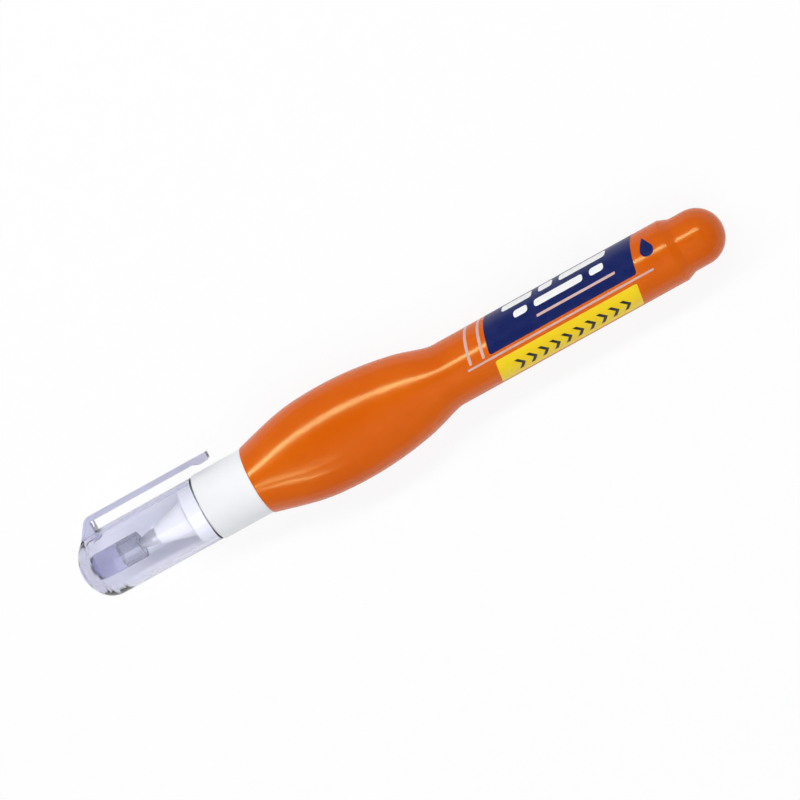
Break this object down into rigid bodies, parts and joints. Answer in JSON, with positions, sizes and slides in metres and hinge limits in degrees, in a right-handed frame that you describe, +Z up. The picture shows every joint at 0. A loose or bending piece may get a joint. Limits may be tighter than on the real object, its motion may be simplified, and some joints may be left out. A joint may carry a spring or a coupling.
{
  "type": "correction pen",
  "caption": "Squeeze correction pen: oval grip bulge, round barrel, white nozzle with a sprung needle valve, clear pull-off cap with pocket clip.",
  "frame": {"origin": "middle of the pen's length, on its axis", "axes": "+X along the axis towards the rear end, cap at -X; clip on the +Y side; +Z up through the thin way of the oval bulge, on which the pen lies"},
  "size_m": [0.14, 0.0193, 0.015],
  "materials": {
    "orange_plastic": "glossy moulded polyethylene",
    "white_plastic": "satin moulded polypropylene",
    "clear_plastic": "clear moulded polystyrene with a faint blue tint",
    "seal_plastic": "soft grey elastomer",
    "tip_metal": "turned nickel silver",
    "needle_steel": "ground stainless steel",
    "spring_steel": "drawn stainless wire",
    "ball_steel": "polished steel",
    "natural_plastic": "natural acetal"
  },
  "bodies": {
    "pen": {"bottle": "orange_plastic", "nozzle": "white_plastic", "metal_tip": "tip_metal", "spring_retainer": "natural_plastic", "valve_spring": "spring_steel"},
    "needle": {"valve_needle": "needle_steel", "needle_carrier": "natural_plastic"},
    "ball": {"agitator_ball": "ball_steel"},
    "cap": {"cap": "clear_plastic", "cap_seal": "seal_plastic"}
  },
  "joints": [
    {"name": "cap_pull", "type": "slide", "parent": "pen", "child": "cap", "axis": [-1, 0, 0], "range_m": [0, 0.032]},
    {"name": "needle_press", "type": "slide", "parent": "pen", "child": "needle", "axis": [1, 0, 0], "range_m": [0, 0.0006], "stiffness_N_per_m": 150, "springref_m": -0.0004, "deforming": ["valve_spring"]},
    {"name": "ball_travel", "type": "slide", "parent": "pen", "child": "ball", "axis": [-1, 0, 0], "range_m": [0, 0.085]}
  ]
}
